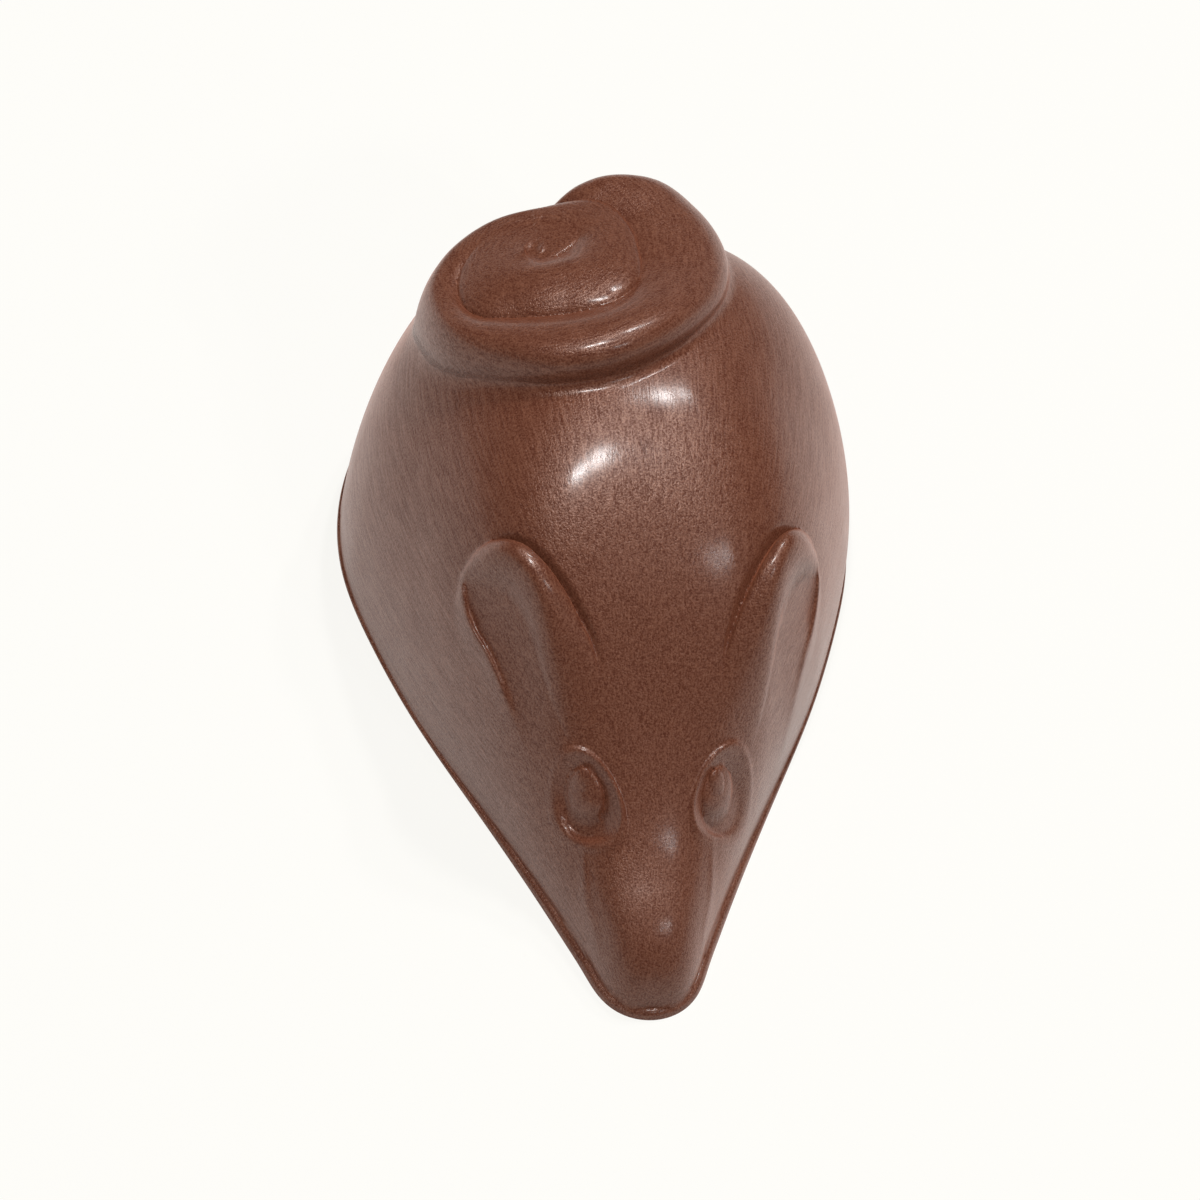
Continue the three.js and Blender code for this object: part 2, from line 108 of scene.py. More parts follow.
EYES = [dict(at=(-3.33, -13.11), tilt=np.radians(38.5), ball=(-3.34, -12.57), pupil=(0.5, -0.04)),
        dict(at=(4.15, -12.8), tilt=np.radians(41.5), ball=(3.75, -12.6), pupil=(0.1, -0.18))]
SOCKET = dict(length=2.25, width=1.22, depth=0.9)
SOCKET_LIP = dict(height=0.3, ring=1.06, breadth=0.1, fade=0.7, span=(-0.6, 0.9))
BALL = dict(length=1.27, width=0.74, height=0.95, sunk=0.8)
PUPIL = dict(size=0.46, height=0.3)
EYE_BLEND = 0.06
FAR_BELOW = -9
EAR_FADE_HEIGHT = 4
EYE_FADE_HEIGHT = 3
LEAST_SPAN = 0.2

print("ears:", len(EARS), " eyes:", len(EYES))

# %% [markdown]
# The coil is measured round its own middle, with turns as the stations: 0 is straight to the rear, and
# the numbers grow clockwise, seen from above, from the tail's root outside to its tip in the middle.
# `COIL_EDGE` is the radius of the tail's outer edge, so a share of a turn plus whole turns gives every
# pass that a ray crosses. The other tables give the lift of the crest, the depth of the crease outside a
# pass, the crest's place across it and the roundness of its outer side.

# %% Sizes of the coil
COIL_X = -4.3
COIL_Y = 14.4
COIL_LEVEL = 19.74
COIL_LEAN = (0.287, -0.33)
COIL_SAG = 0.021
COIL_EDGE = [(-1, 3.65), (-0.94, 4.9), (-0.914, 6.4), (-0.895, 7.4), (-0.878, 8.2), (-0.846, 9.6),
             (-0.8, 10.1), (-0.75, 10.3), (-0.7, 10.3), (-0.65, 10), (-0.6, 9.8), (-0.5, 9.2),
             (-0.44, 8.4), (-0.375, 7.8), (-0.32, 7), (-0.27, 6.4), (-0.22, 5.5), (-0.17, 4.75),
             (-0.09, 4), (0, 3.6), (0.06, 3.95), (0.1, 4.4), (0.143, 4.85), (0.19, 5.1), (0.24, 5.25),
             (0.28, 5.4), (0.31, 5.65), (0.345, 5.9), (0.375, 5.95), (0.405, 5.8), (0.43, 5.5),
             (0.467, 5.1), (0.515, 4.85), (0.577, 4.95), (0.61, 5.25), (0.646, 5.2), (0.68, 4.88),
             (0.725, 4.3), (0.774, 3.65), (0.85, 2.95), (1, 2.5), (1.12, 2.45), (1.21, 2.25),
             (1.27, 1.65), (1.37, 1.1), (1.57, 0.98), (1.8, 0.7), (2.2, 0.4), (3, 0)]
COIL_LIFT = [(-1, -5), (-0.95, -1.2), (-0.9, 0.15), (-0.85, 0.3), (-0.8, 0), (-0.72, -0.5), (-0.6, -0.2),
             (-0.5, -0.1), (-0.25, 0), (0, 0), (0.25, 0.05), (0.45, 0.25), (0.6, 0.2), (0.8, 0), (3, 0.1)]
COIL_CREASE = [(0, 0.45), (0.08, 0.55), (0.2, 0.5), (0.28, 0.25), (0.34, 0.3), (0.4, 0.6), (0.47, 1),
               (0.56, 1), (0.65, 0.7), (0.75, 0.25), (0.82, 0.05), (0.9, 0), (1.1, 0), (1.22, 0.35),
               (1.35, 0.6), (1.5, 0.5), (1.7, 0), (3, 0)]
COIL_CREST = [(-1, 0.5), (-0.5, 0.48), (-0.35, 0.58), (-0.2, 0.62), (-0.05, 0.5), (0.2, 0.5), (0.4, 0.3),
              (0.6, 0.3), (0.8, 0.5), (3, 0.5)]
COIL_ROUND = [(-1, 2.3), (0.2, 2.3), (0.42, 1.6), (0.6, 1.6), (0.8, 2.3), (3, 2.3)]
COIL_SHOULDER = 1.15
COIL_FILLET = 0.6

print("radius of the coil, mm:", max(edge for turn, edge in COIL_EDGE))

# %% [markdown]
# ## Curves through stations
# A pattern maker draws a profile by bending a thin batten through a few pins. `batten` is that springy
# strip, for the long lines of the body. `through` also passes every pin but takes each slope from the
# neighbouring pins only, so a tight bend of the coil doesn't make waves farther on. `straight` joins the
# pins with straight lines. All of them work on whole arrays, so a hundred thousand heights take one call.
# `smooth_step` fades a feature in or out, and `smooth_max` joins two surfaces with a small valley.

# %% Curves
def hermite(xs, ys, slope, x):
    """Cubic between two pins from their values and slopes: each value times its S-shaped weight, plus
    the step times each slope times its own bump."""
    v = np.clip(x, xs[0], xs[-1])
    i = np.clip(np.searchsorted(xs, v) - 1, 0, len(xs) - 2)
    step = np.diff(xs)
    t = (v - xs[i]) / step[i]
    level = (2 * t**3 - 3 * t**2 + 1) * ys[i] + (3 * t**2 - 2 * t**3) * ys[i + 1]
    bend = (t**3 - 2 * t**2 + t) * slope[i] + (t**3 - t**2) * slope[i + 1]
    return level + step[i] * bend


def through(stations, x):
    """Curve through (position, value) pins, with the slope at a pin averaged from both sides."""
    xs, ys = np.array(stations, float).T
    step = np.diff(xs)
    rise = np.diff(ys) / step
    inner = (step[1:] * rise[:-1] + step[:-1] * rise[1:]) / (step[1:] + step[:-1])
    return hermite(xs, ys, np.concatenate([rise[:1], inner, rise[-1:]]), x)


def batten(stations, x):
    """Curve of a springy batten through the pins: slopes solved so that the bending has no jump, and
    is nothing at the ends."""
    xs, ys = np.array(stations, float).T
    step = np.diff(xs)
    rise = np.diff(ys) / step
    n = len(xs)
    grid = np.zeros((n, n))
    want = np.zeros(n)
    i = np.arange(1, n - 1)
    grid[i, i - 1], grid[i, i], grid[i, i + 1] = 1 / step[:-1], 2 / step[:-1] + 2 / step[1:], 1 / step[1:]
    want[1:-1] = 3 * (rise[:-1] / step[:-1] + rise[1:] / step[1:])
    grid[0, :2], grid[-1, -2:] = (2, 1), (1, 2)
    want[0], want[-1] = 3 * rise[0], 3 * rise[-1]
    return hermite(xs, ys, np.linalg.solve(grid, want), x)


def straight(stations, x):
    """Straight lines between (position, value) pins."""
    xs, ys = np.array(stations, float).T
    return np.interp(x, xs, ys)


def smooth_step(start, end, v):
    """0 before start, 1 after end, and an S between them."""
    t = np.clip((v - start) / (end - start), 0, 1)
    return t * t * (3 - 2 * t)


def smooth_max(a, b, width):
    """The greater of two heights, with a rounded valley of the given width where they meet."""
    t = np.clip(0.5 + 0.5 * (a - b) / width, 0, 1)
    return b + (a - b) * t + width * t * (1 - t)


print("back height at mid length, mm:", round(float(batten(BACK, LENGTH / 2)), 2))

# %% [markdown]
# ## The body
# A praline leaves its mould straight, so nothing on it may overhang: its whole upper side is one height
# over the plan. The body's height at a point is the height of the back at that distance from the nose,
# times an arch across, which falls steeply only near the edge. The muzzle is crowned and has a faint
# ridge along each side. Round the base runs a thin rounded lip, widest at the nose, such as is left
# where chocolate is scraped level with its mould.

# %% Height of the plain body
def half_width(t):
    """Half the plan's width: the width of a circle on the same length, times the breadth there."""
    return np.sqrt(np.maximum(t * (LENGTH - t), 0)) * batten(BREADTH, t)


def width_squared(t):
    """Square of half the plan's width, which runs smoothly through zero at both ends."""
    return t * (LENGTH - t) * batten(BREADTH, t)**2


def edge_distance(x, t):
    """How far a point lies inside the outline: (w^2 - x^2) over the steepness of w^2 - x^2."""
    step = 0.02
    slope = (width_squared(t + step) - width_squared(t - step)) / (2 * step)
    return (width_squared(t) - x**2) / np.sqrt(slope**2 + 4 * x**2)


def back_height(t):
    """Height of the back's middle line: the pinned curve times a rounded nose and a rounded rump."""
    nose = np.clip(t / NOSE_ROUNDING, 0, 1)
    rump = np.clip((t - LENGTH + RUMP_ROUNDING) / RUMP_ROUNDING, 0, 1)
    return batten(BACK, t) * np.sqrt(1 - (1 - nose)**2) * np.sqrt(1 - rump**RUMP_POWER)


def lip_width(t):
    """Width of the thin lip at the base: widest at the nose."""
    return LIP_WIDTH[0] + (LIP_WIDTH[1] - LIP_WIDTH[0]) * smooth_step(*LIP_FADE, t)


def body_height(x, y):
    """Height of the back times (1 - across^p)^(1/q) and the muzzle's crown, plus a bell-shaped ridge;
    then the greater of that and the quarter-round lip."""
    t = np.clip(y + LENGTH / 2, 0, LENGTH)
    lip = lip_width(t)
    across = np.clip(np.abs(x) / np.maximum(half_width(t) - lip, 1e-6), 0, 1)
    crown = 1 - MUZZLE_CROWN * (1 - smooth_step(*MUZZLE_FADE, t)) * across**2
    inner = np.clip((t - lip) * LENGTH / (LENGTH - 2 * lip), 0, LENGTH)
    body = back_height(inner) * crown * (1 - across**batten(ARCH, t))**(1 / ARCH_TOP)
    ridge = RIDGE_HEIGHT * np.exp(-((np.abs(x) - through(RIDGE, t)) / RIDGE_BREADTH)**2)
    body = body + ridge * smooth_step(*RIDGE_START, t) * (1 - smooth_step(*RIDGE_END, t))
    inward = np.clip(edge_distance(x, t) / lip, 0, 1)
    return smooth_max(body, LIP_HEIGHT * lip * np.sqrt(1 - (1 - inward)**2), LIP_VALLEY * lip)


print("height over the shoulders, mm:", round(float(body_height(np.array(0.0), np.array(4.0))), 2))

# %% [markdown]
# ## Ears and eyes
# An ear lies flat along the body: a rolled band on its inner side, higher toward the hollow beside it, a
# fine ditch at its foot, and a thin raised rim on the ear's outer side. It is drawn in the ear's own
# coordinates, along it from the tip and across it. An eye is a slanting oval dish with a low lip, an
# oval ball in its rear half and a small dome on the ball. These are only fractions of a millimetre, but
# they catch the light, so they are part of the skin and not of its colour.

# %% Relief of the ears and the eyes
def ear_relief(ear, x, y):
    """Roll, ditch, rim and hollow of one ear, each a bump across the ear times a fade along it."""
    (tx, ty), (fx, fy) = ear["tip"], ear["front"]
    length = np.hypot(fx - tx, fy - ty)
    ux, uy = (fx - tx) / length, (fy - ty) / length
    along = (x - tx) * ux + (y - ty) * uy
    inward = -np.sign(tx) * ((y - ty) * ux - (x - tx) * uy)
    inner, middle, outer = (through(s, along) for s in (EAR_INNER, EAR_MIDDLE, EAR_OUTER))
    across = np.clip((inward - (inner + middle) / 2) / ((inner - middle) / 2), -1, 1)
    profile = (1 - EAR_TILT * across) * (1 - np.abs(across)**EAR_ROUND)**0.5
    roll = np.maximum(through(EAR_RISE, along), 0) * profile
    ditch = -EAR_DITCH["depth"] * np.exp(-((inward - inner - EAR_DITCH["off"]) / EAR_DITCH["breadth"])**2)
    rim = EAR_RIM["height"] * np.exp(-((inward - outer) / EAR_RIM["breadth"])**2)
    span = np.clip((inward - outer) / np.maximum(middle - outer, LEAST_SPAN), 0, 1)
    hollow = -EAR_HOLLOW["depth"] * np.sin(np.pi * span)
    ditch, rim, hollow = (bump * smooth_step(*size["start"], along) * (1 - smooth_step(*size["end"], along))
                          for bump, size in ((ditch, EAR_DITCH), (rim, EAR_RIM), (hollow, EAR_HOLLOW)))
    return np.where((along < EAR_START) | (along > EAR_LENGTH), 0, roll + ditch + rim + hollow)


def eye_relief(eye, x, y):
    """Depth of the oval dish with its lip, and height of the ball with its small dome, from the skin.
    The lip fades toward the eye's outer side."""
    side = np.sign(eye["at"][0])
    turned = []
    for px, py in (eye["at"], eye["ball"]):
        dx, dy = side * (x - px), y - py
        turned += [dy * np.cos(eye["tilt"]) + dx * np.sin(eye["tilt"]),
                   dx * np.cos(eye["tilt"]) - dy * np.sin(eye["tilt"])]
    along, out, ball_along, ball_out = turned
    ring = np.hypot(along / SOCKET["length"], out / SOCKET["width"])
    dish = -SOCKET["depth"] * (1 - smooth_step(0.5, 1, ring))
    fade = 1 - SOCKET_LIP["fade"] * smooth_step(*SOCKET_LIP["span"], out / SOCKET["width"])
    lip = SOCKET_LIP["height"] * np.exp(-((ring - SOCKET_LIP["ring"]) / SOCKET_LIP["breadth"])**2) * fade
    on_ball = np.minimum(np.hypot(ball_along / BALL["length"], ball_out / BALL["width"]), 1)
    dome = np.hypot(ball_along - eye["pupil"][0], ball_out - eye["pupil"][1]) / PUPIL["size"]
    ball = BALL["height"] * np.sqrt(1 - on_ball**4) - BALL["sunk"]
    ball = ball + PUPIL["height"] * np.sqrt(np.maximum(1 - dome**2, 0))
    return dish + lip, np.where(on_ball < 1, ball, FAR_BELOW)


def skin_height(x, y):
    """Height of the body with its ears and eyes, which fade out where the body is low; no coil yet."""
    plain = body_height(x, y)
    ears = sum(ear_relief(ear, x, y) for ear in EARS)
    left, right = (eye_relief(eye, x, y) for eye in EYES)
    dish, ball = left[0] + right[0], np.maximum(left[1], right[1])
    ears = ears * np.clip(plain / EAR_FADE_HEIGHT, 0, 1)
    carved = plain + ears + dish * np.clip(plain / EYE_FADE_HEIGHT, 0, 1)
    return smooth_max(carved, plain + ball, EYE_BLEND)


print("height of an eye ball, mm:", round(float(skin_height(*map(np.array, EYES[0]["ball"]))), 2))

# %% [markdown]
# ## The tail
# The tail winds round on the rump as a flat spiral on a sloping, slightly sagging bed, and each pass
# rides up on the one outside it. The passes that cross a ray are found by adding whole turns. Between
# two edges the height is a crest that falls in a rounded flank to the crease on both sides, and the
# outermost pass falls to the rump with a small fillet at its foot. A mould cut like this leaves the
# creases sharp and the crests soft, which is what the light shows.

# %% Height of the coil
def coil_polar(x, y):
    """Radius from the coil's middle, and the share of a turn, clockwise from the rear."""
    return np.hypot(x - COIL_X, y - COIL_Y), np.arctan2(x - COIL_X, y - COIL_Y) / (2 * np.pi) % 1


def coil_bed(x, y):
    """Height of the sloping, slightly sagging face that the coil is laid on."""
    dx, dy = x - COIL_X, y - COIL_Y
    return COIL_LEVEL + COIL_LEAN[0] * dx + COIL_LEAN[1] * dy - COIL_SAG * dx**2


def coil_height(x, y, skin):
    """Skin with a fillet outside the coil's foot. Inside it, the crest's height falls inward with the
    square of the way to the inner crease, and outward as (1 - way^n)^(shoulder/n) to the outer one."""
    r, psi = coil_polar(x, y)
    bed = coil_bed(x, y)
    foot = through(COIL_EDGE, psi - 1)
    out = np.clip(r - foot, 0, COIL_FILLET)
    fillet = COIL_FILLET - np.sqrt(COIL_FILLET**2 - (COIL_FILLET - out)**2)
    turn = psi - 1 + sum((r < through(COIL_EDGE, psi + k)).astype(int) for k in range(3))
    outer, inner = through(COIL_EDGE, turn), through(COIL_EDGE, turn + 1)
    low = skin + COIL_FILLET
    top = np.maximum(bed + through(COIL_LIFT, turn), low)
    near = np.maximum(top - straight(COIL_CREASE, turn + 1), low)
    seam = np.maximum(bed + through(COIL_LIFT, turn - 1) - straight(COIL_CREASE, turn), low)
    far = np.where(turn < 0, low, seam)
    crest = inner + (outer - inner) * straight(COIL_CREST, turn)
    inside = np.clip((crest - r) / np.maximum(crest - inner, LEAST_SPAN), 0, 1)
    outside = np.clip((r - crest) / np.maximum(outer - crest, LEAST_SPAN), 0, 1)
    rise_in = top + (near - top) * inside**2
    power = straight(COIL_ROUND, turn)
    rise_out = far + (top - far) * (1 - outside**power)**(COIL_SHOULDER / power)
    return np.where(r >= foot, skin + fillet, np.maximum(np.where(r < crest, rise_in, rise_out), skin))


def top_height(x, y):
    """Height of the whole upper side."""
    return coil_height(x, y, skin_height(x, y))


print("height at the coil's middle, mm:", round(float(top_height(np.array(COIL_X), np.array(COIL_Y))), 2))

# %% [markdown]
# ## The skin as one net
# Rings run round the praline, from the outline over the wall and the back to a spine line on top, where
# they close. They crowd at the outline, where the wall is steep. Round the coil the points also slide
# along the coil's rays, so that many more of them lie on its wall and its creases. The flat underside
# is the same net with few rings.

# %% Points round the outline
RAYS = 600
RINGS = 160
SPINE = (-16.0, 3.0)
LIP_RINGS = 5
UNDER = (0.006, 0.07, 0.3, 0.65, 1)


def outline_points(n):
    """Points round the outline from the nose and back, closer together along the eyes and the ears."""
    fine = np.linspace(0, 1, 4001)
    t = LENGTH * (1 - np.cos(np.pi * fine)) / 2
    x, y = half_width(t), t - LENGTH / 2
    close = 1 + 0.45 * (smooth_step(-17, -15, y) - smooth_step(-1, 2, y))
    run = np.concatenate([[0], np.cumsum(np.hypot(np.diff(x), np.diff(y)) * close[1:])])
    share = np.interp(np.linspace(0, run[-1], n // 2 + 1), run, fine)
    t = LENGTH * (1 - np.cos(np.pi * share)) / 2
    side = np.stack([half_width(t), t - LENGTH / 2], axis=1)
    return np.vstack([side, side[-2:0:-1] * (-1, 1)])


outline = outline_points(RAYS)
gaps = np.hypot(*(outline - np.roll(outline, 1, axis=0)).T)
print("length round the outline, mm:", round(float(gaps.sum()), 1))

# %% [markdown]
# The coil's wall and its creases turn over within a tenth of a millimetre. The points near it are
# pushed together there along the coil's rays, as a sculptor leaves more clay where the detail is. Each
# ray keeps its points in order, so no triangle folds over.

# %% Crowd the points at the coil
CROWDING = [(-1, 0), (-0.93, 7), (-0.1, 7), (0.05, 3), (1.6, 2), (2, 0), (3, 0)]
CROWD_BREADTH = 0.35
CROWD_MARGIN = 3.5
CROWD_STEPS = 96


def outline_reach(psi):
    """Distance from the coil's middle to the outline along each ray, looked up between 720 rays."""
    rays = np.linspace(0, 1, 721)
    far = np.linspace(0, 40, 1601)
    x = COIL_X + far[:, None] * np.sin(2 * np.pi * rays)
    y = COIL_Y + far[:, None] * np.cos(2 * np.pi * rays)
    inside = np.abs(x) < half_width(np.clip(y + LENGTH / 2, 0, LENGTH))
    return np.interp(psi, rays, far[inside.sum(axis=0) - 1])


def crowd_at_coil(x, y):
    """Slides each point along its ray from the coil's middle, so that the points' share of a density
    that peaks at the coil's edges stays what their share of the radius was."""
    r, psi = coil_polar(x, y)
    dx, dy = np.sin(2 * np.pi * psi), np.cos(2 * np.pi * psi)
    reach = np.minimum(through(COIL_EDGE, psi - 1) + CROWD_MARGIN, 0.99 * outline_reach(psi))
    steps = np.linspace(0, 1, CROWD_STEPS + 1)[:, None]
    near = np.flatnonzero(r < reach)
    radius = steps * reach[near]
    density = np.ones_like(radius)
    for k in (-1, 0, 1, 2):
        away = (radius - through(COIL_EDGE, psi[near] + k)) / CROWD_BREADTH
        density += straight(CROWDING, psi[near] + k) * np.exp(-away**2)
    part = np.cumsum((density[1:] + density[:-1]) / 2, axis=0)
    part = np.vstack([np.zeros(len(near)), part / part[-1]])
    share = r[near] / reach[near]
    k = np.clip((part < share).sum(axis=0) - 1, 0, CROWD_STEPS - 1)
    cols = np.arange(len(near))
    inside = (share - part[k, cols]) / (part[k + 1, cols] - part[k, cols])
    r = r.copy()
    r[near] = (k + inside) / CROWD_STEPS * reach[near]
    return COIL_X + r * dx, COIL_Y + r * dy


print("farthest outline from the coil, mm:", round(float(outline_reach(np.linspace(0, 1, 37)).max()), 1))

# %% [markdown]
# The rings run inward from the outline. The first few lie on the narrow lip, and the others spread over
# the wall and the back, closest at the wall. Each point then takes its height, and the outline itself
# stays on the table.

# %% Lay the net
EVEN_SHARE = 0.25

spine = np.stack([outline[:, 0] * 0, np.clip(outline[:, 1], *SPINE)], axis=1)
ray = np.hypot(*(outline - spine).T)
lip_share = lip_width(outline[:, 1] + LENGTH / 2) / ray
even = np.linspace(0, 1, RINGS - LIP_RINGS + 1)[:, None]
crowd = EVEN_SHARE * even + (1 - EVEN_SHARE) * (1 - np.cos(np.pi / 2 * even))
on_lip = np.linspace(0, 1, LIP_RINGS + 1)[:-1, None] * lip_share
share = np.vstack([on_lip, lip_share + crowd * (1 - lip_share)])
plan = outline + share[..., None] * (spine - outline)
plan_x, plan_y = crowd_at_coil(plan[..., 0].ravel(), plan[..., 1].ravel())
height = top_height(plan_x, plan_y)
height[:RAYS] = 0
upper = np.stack([plan_x, plan_y, height], axis=1)
plan = outline + np.array(UNDER)[:, None, None] * (spine - outline)
lower = np.insert(plan.reshape(-1, 2), 2, 0, axis=1)
print("net points:", len(upper) + len(lower), " highest, mm:", round(float(height.max()), 2))

# %% [markdown]
# The cast skin is one unbroken surface. The two nets share the outline, so equal points are joined, and
# the spine, where the two sides meet, closes by itself. The base edge and the
# deepest creases turn by more than 60 degrees and stay sharp; everything else shades smoothly.

# %% Join the net into a mesh
SHARP_ANGLE = 60


def bands(rings):
    """Two triangles in each cell between neighbouring rings of point numbers."""
    a, b = rings[:-1], rings[1:]
    c, d = np.roll(a, -1, axis=1), np.roll(b, -1, axis=1)
    halves = [np.stack(corners, axis=-1).reshape(-1, 3) for corners in ((a, c, d), (a, d, b))]
    return np.concatenate(halves)


numbers = np.arange(len(upper) + len(lower)).reshape(-1, RAYS)
under = numbers[[0, *range(RINGS + 1, len(numbers))]]
faces = np.vstack([bands(numbers[:RINGS + 1]), bands(under)[:, ::-1]])
points, same = np.unique(np.round(np.vstack([upper, lower]), 6), axis=0, return_inverse=True)
faces = same.ravel()[faces]
faces = faces[(faces != np.roll(faces, 1, axis=1)).all(axis=1)]
skin = bpy.data.meshes.new("praline_skin")
skin.from_pydata((points * MM).tolist(), [], faces.tolist())
skin.validate()
skin.shade_smooth()
skin.set_sharp_from_angle(angle=np.radians(SHARP_ANGLE))
body = bpy.data.objects.new("praline_skin", skin)
bpy.context.scene.collection.objects.link(body)
print("triangles:", len(skin.polygons))

# %% [markdown]
# ## Direction of the hairlines
# If a mould is polished by hand with strokes along its shapes, the cast skin keeps faint hairlines:
# lengthwise on the body, where they close up toward the nose, and round and round on the tail. Each
# point gets a place counted in hairlines (across, along, deep), which the surface pattern reads.

# %% Hairline places
HAIR_WIDTH = 0.16
HAIR_LENGTH = 2.4
HAIR_DEPTH = 0.22
BODY_BREADTH = 14
COIL_RADIUS = 5
COIL_OFF = 60

x, y, z = points.T
r, psi = coil_polar(x, y)
width = np.maximum(half_width(np.clip(y + LENGTH / 2, 0.5, LENGTH - 0.5)), 1)
on_coil = r < through(COIL_EDGE, psi - 1)
across = np.where(on_coil, r + COIL_OFF, BODY_BREADTH * x / width)
along = np.where(on_coil, 2 * np.pi * psi * COIL_RADIUS, y)
hair = np.stack([across / HAIR_WIDTH, along / HAIR_LENGTH, z / HAIR_DEPTH], axis=1)
skin.attributes.new("hair", "FLOAT_VECTOR", "POINT").data.foreach_set("vector", hair.ravel().astype("f"))
print("points on the coil:", int(on_coil.sum()))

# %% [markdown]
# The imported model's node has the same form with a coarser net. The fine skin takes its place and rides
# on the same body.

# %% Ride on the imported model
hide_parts("praline")
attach(body, "root")
print("skin box, mm:", [round(1000 * d, 2) for d in body.dimensions])

# %% [markdown]
# ## The chocolate
# The praline looks like tempered chocolate, cast in a polished mould. Set cocoa butter takes on the mould's
# gloss, so small lights stay bright and clear, and below it the fine solids scatter a broader, softer
# sheen. The body colour is a warm brown, deeper between the grains and lighter on them.

# %% Colour and node helpers
def linear(hex_colour):
    """sRGB hex to linear RGBA."""
    c = np.array([int(hex_colour[i:i + 2], 16) for i in (1, 3, 5)]) / 255
    c = np.where(c <= 0.04045, c / 12.92, ((c + 0.055) / 1.055)**2.4)
    return (*map(float, c), 1.0)


def node(tree, kind, settings=None, values=None, links=None):
    """Adds one node, sets its properties and inputs, and links its inputs to other nodes' outputs."""
    n = tree.nodes.new(kind)
    for name, value in (settings or {}).items():
        setattr(n, name, value)
    for name, value in (values or {}).items():
        n.inputs[name].default_value = value
    for name, (source, output) in (links or {}).items():
        tree.links.new(source.outputs[output], n.inputs[name])
    return n


print("deep brown, linear:", [round(c, 3) for c in linear("#452217")[:3]])

# %% [markdown]
# Three marks are worked in. The grain stands for sugar and cocoa under the skin, a tenth of a millimetre
# across. The hairlines follow the shapes, as if cast from a polished mould. The clouds, a few
# millimetres wide, stand for places that handling has dulled a little. The grain and the
# hairlines tint the brown, roughen the sheen with very shallow bumps and make it sparkle, while the clear
# gloss on top takes only a breath of the hairlines. A faint brown bloom lightens the skin where it is
# seen at a slant, as fine dust of cocoa does.

# %% Chocolate
GRAIN_SIZE = 0.1
CLOUD_SIZE = 20 / 7
MARK_DEPTH = 0.00003
GLOSS_DEPTH = 0.00002

chocolate = bpy.data.materials.new("moulded_chocolate")
chocolate.use_nodes = True
tree = chocolate.node_tree
tree.nodes.clear()
place = node(tree, "ShaderNodeTexCoord")
grain = node(tree, "ShaderNodeTexNoise",
             values={"Scale": 1 / (GRAIN_SIZE * MM), "Detail": 2, "Roughness": 0.6},
             links={"Vector": (place, "Object")})
place_in_hairs = node(tree, "ShaderNodeAttribute", {"attribute_name": "hair"})
hairlines = node(tree, "ShaderNodeTexNoise",
                 values={"Scale": 1, "Detail": 3, "Roughness": 0.7},
                 links={"Vector": (place_in_hairs, "Vector")})
cloud = node(tree, "ShaderNodeTexNoise",
             values={"Scale": 1 / (CLOUD_SIZE * MM), "Detail": 4, "Roughness": 0.6},
             links={"Vector": (place, "Object")})
grain_bump = node(tree, "ShaderNodeBump",
                  values={"Strength": 1.0, "Distance": MARK_DEPTH},
                  links={"Height": (grain, "Fac")})
bump = node(tree, "ShaderNodeBump",
            values={"Strength": 0.9, "Distance": MARK_DEPTH},
            links={"Height": (hairlines, "Fac"), "Normal": (grain_bump, "Normal")})
coat_bump = node(tree, "ShaderNodeBump",
                 values={"Strength": 0.25, "Distance": GLOSS_DEPTH},
                 links={"Height": (hairlines, "Fac")})
marks = node(tree, "ShaderNodeMix",
             values={"Factor": 0.4},
             links={"A": (grain, "Fac"), "B": (hairlines, "Fac")})
tone = node(tree, "ShaderNodeValToRGB", links={"Fac": (marks, "Result")})
for stop, (position, brown) in zip(tone.color_ramp.elements, ((0.38, "#452217"), (0.64, "#68402f"))):
    stop.position = position
    stop.color = linear(brown)
gloss = node(tree, "ShaderNodeMapRange",
             values={"From Min": 0.3, "From Max": 0.7, "To Min": 0.31, "To Max": 0.39},
             links={"Value": (cloud, "Fac")})
speckle = node(tree, "ShaderNodeMapRange",
               values={"From Min": 0.4, "From Max": 0.6, "To Min": 0.15, "To Max": 0.7},
               links={"Value": (marks, "Result")})
shader = node(tree, "ShaderNodeBsdfPrincipled", values={
    "IOR": 1.47, "Specular Tint": linear("#ffe0d2"),
    "Coat Weight": 0.26, "Coat Roughness": 0.17, "Coat IOR": 1.47,
    "Sheen Weight": 0.4, "Sheen Roughness": 0.5, "Sheen Tint": linear("#a05c40"),
}, links={
    "Base Color": (tone, "Color"), "Roughness": (gloss, "Result"), "Specular IOR Level": (speckle, "Result"),
    "Normal": (bump, "Normal"), "Coat Normal": (coat_bump, "Normal"),
})
out = node(tree, "ShaderNodeOutputMaterial", links={"Surface": (shader, "BSDF")})
skin.materials.append(chocolate)
print("nodes in the chocolate:", len(tree.nodes))

# %% [markdown]
# ## Floor, light and camera
# The praline lies on a sheet that gives out an even light, as on a light table, so the ground is white
# up to the praline's edge and its glow fills the flanks. The sheet's own colour is a dark grey, so that
# the lamps don't light it beyond white.

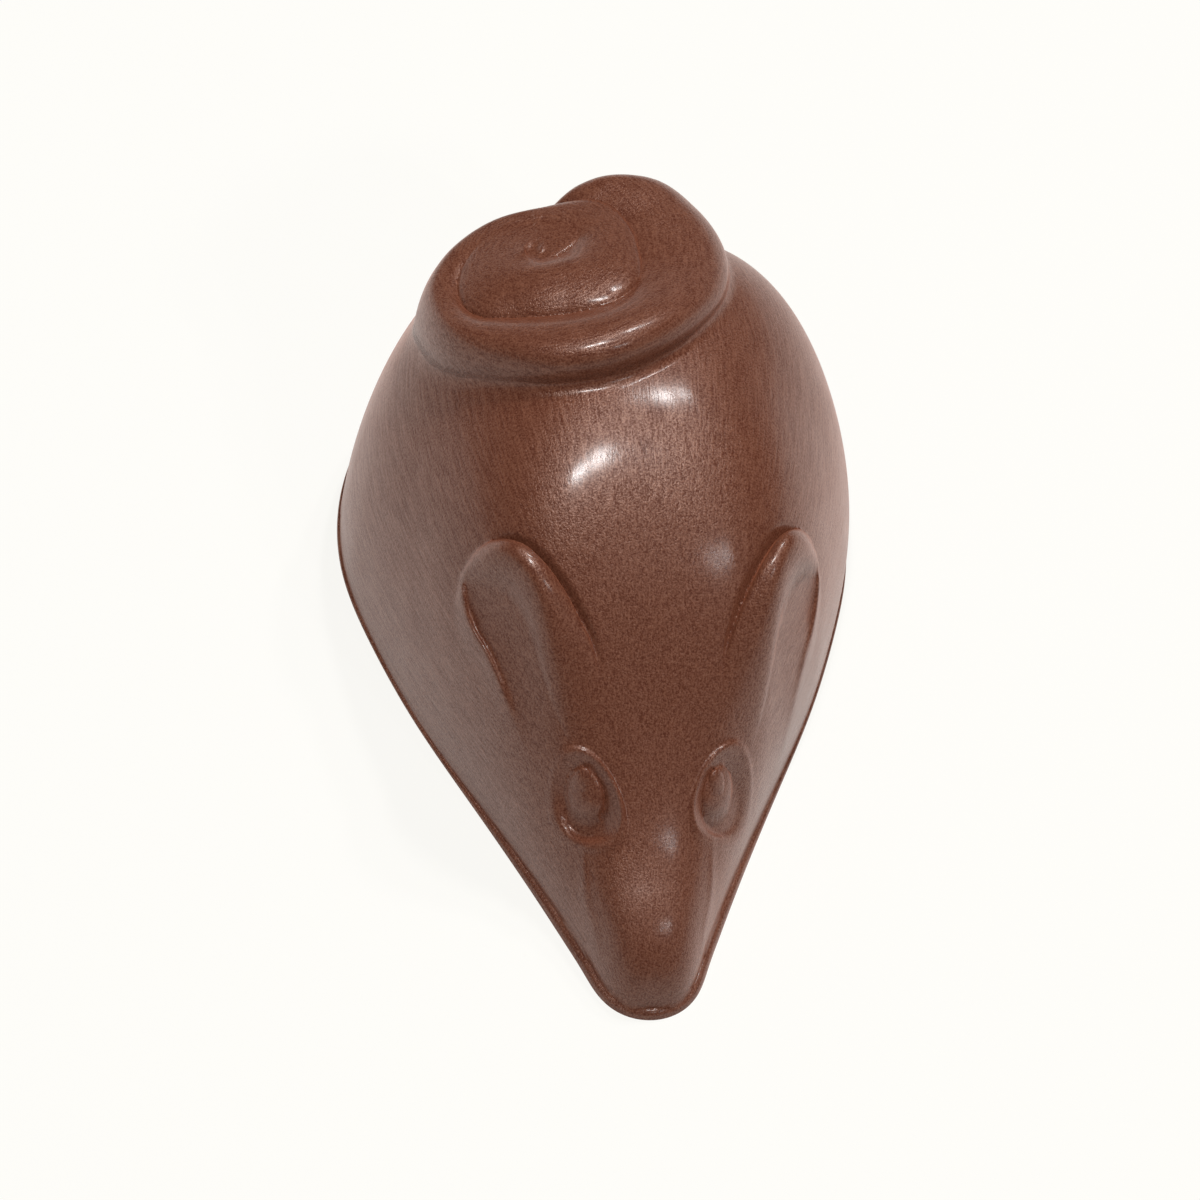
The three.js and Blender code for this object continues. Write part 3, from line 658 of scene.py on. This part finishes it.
# %% Floor
FLOOR_HALF = 1.5
floor_mesh = bpy.data.meshes.new("floor")
corners = FLOOR_HALF * np.array([(-1, -1, 0), (1, -1, 0), (1, 1, 0), (-1, 1, 0)])
floor_mesh.from_pydata(corners.tolist(), [], [(0, 1, 2, 3)])
floor = bpy.data.objects.new("floor", floor_mesh)
bpy.context.scene.collection.objects.link(floor)
paper = bpy.data.materials.new("pale_paper")
paper.use_nodes = True
sheet = paper.node_tree.nodes["Principled BSDF"]
sheet.inputs["Base Color"].default_value = linear("#5a5957")
sheet.inputs["Roughness"].default_value = 0.9
sheet.inputs["Emission Color"].default_value = linear("#fdfcf8")
sheet.inputs["Emission Strength"].default_value = 0.82
floor_mesh.materials.append(paper)
print("floor side, m:", 2 * FLOOR_HALF)

# %% [markdown]
# A dim, slightly warm room and three soft lamps light it, each lamp two panes side by side, like a window
# with a bar. Pair a is nearly overhead and pair b is high behind: they give the bright lights on the
# back and on the coil. Pair c is in front, half-way up, and gives the weak lights on the neck and the
# muzzle.

# %% Light
LAMP_DISTANCE = 0.6
LAMP_AIM = Vector((0, 0, 0.01))

scene = bpy.context.scene
scene.view_settings.view_transform = "Standard"
world = bpy.data.worlds.new("room")
world.use_nodes = True
world.node_tree.nodes["Background"].inputs["Color"].default_value = (1.0, 0.99, 0.97, 1)
world.node_tree.nodes["Background"].inputs["Strength"].default_value = 0.06
scene.world = world


def lamp(name, towards, width, height, power):
    """Rectangular soft light in a direction from the praline, facing it."""
    light = bpy.data.lights.new(name, "AREA")
    light.shape = "RECTANGLE"
    light.size, light.size_y = width, height
    light.energy = power
    o = bpy.data.objects.new(name, light)
    way = Vector(towards).normalized()
    o.location = way * LAMP_DISTANCE + LAMP_AIM
    o.rotation_euler = way.to_track_quat("Z", "Y").to_euler()
    scene.collection.objects.link(o)
    return o


lamp("lamp_a_left", (-0.14, -0.11, 0.95), 0.026, 0.05, 1.8)
lamp("lamp_a_right", (0.0, -0.05, 0.97), 0.026, 0.06, 1.8)
lamp("lamp_b_left", (0.23, 0.38, 0.9), 0.024, 0.045, 1.3)
lamp("lamp_b_right", (0.35, 0.42, 0.84), 0.018, 0.035, 0.6)
lamp("lamp_c_left", (0.33, -0.6, 0.72), 0.012, 0.06, 0.25)
lamp("lamp_c_right", (0.44, -0.56, 0.7), 0.012, 0.06, 0.3)

# %% [markdown]
# The camera stands in front of the nose, a little to its left, and looks down at the angle of the
# photograph with a long lens. It is rolled clockwise, so the praline leans in the picture.

# %% Camera
AZIMUTH, ELEVATION, ROLL = np.radians((-15.6, 56.63, 11.26))
DISTANCE = 0.45
AIM = np.array([0, 0, 0.008])
back = np.array([np.sin(AZIMUTH) * np.cos(ELEVATION), -np.cos(AZIMUTH) * np.cos(ELEVATION),
                 np.sin(ELEVATION)])
level = np.array([np.cos(AZIMUTH), np.sin(AZIMUTH), 0])
upright = np.cross(back, level)
right = np.cos(ROLL) * level + np.sin(ROLL) * upright
up = -np.sin(ROLL) * level + np.cos(ROLL) * upright
lens = bpy.data.cameras.new("camera")
lens.lens = 250
lens.sensor_width = 36
lens.shift_x = -0.0197
lens.shift_y = -0.0107
camera = bpy.data.objects.new("camera", lens)
turn = np.stack([right, up, back], axis=1)
stand = AIM + back * DISTANCE
camera.matrix_world = Matrix.Translation(Vector(stand)) @ Matrix(turn.tolist()).to_4x4()
scene.collection.objects.link(camera)
scene.camera = camera
print("camera stands at, mm:", [round(1000 * float(c)) for c in stand])
